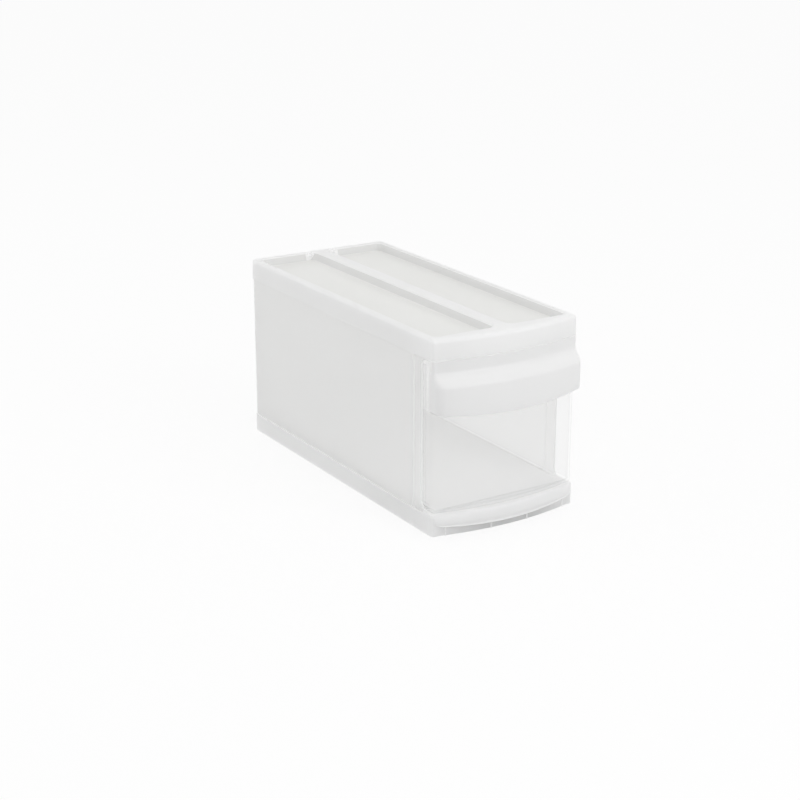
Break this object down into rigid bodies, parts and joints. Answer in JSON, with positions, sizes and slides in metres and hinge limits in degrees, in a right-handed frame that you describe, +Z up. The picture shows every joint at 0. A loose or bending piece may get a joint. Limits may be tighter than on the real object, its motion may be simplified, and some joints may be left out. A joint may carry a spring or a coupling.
{
  "type": "stackable drawer box",
  "caption": "Deep stackable box: a frosted plastic casing with nesting trays on top and a clear sliding drawer with a bowed front and a wide grip.",
  "frame": {"origin": "centre of the overall box at the level of the feet", "axes": "+X to the right as seen from the front, +Y from the drawer's front to the back, +Z up"},
  "size_m": [0.17, 0.395, 0.203],
  "materials": {
    "frosted": "frosted",
    "clear": "polished",
    "grip": "satin"
  },
  "bodies": {
    "casing": {"top_cover": "frosted", "left_side_panel": "frosted", "right_side_panel": "frosted", "back_panel": "frosted", "base": "frosted"},
    "drawer": {"drawer_tub": "clear", "drawer_handle": "grip"}
  },
  "joints": [
    {"name": "drawer_slide", "type": "slide", "parent": "casing", "child": "drawer", "axis": [0, -1, 0], "range_m": [0, 0.3]}
  ]
}
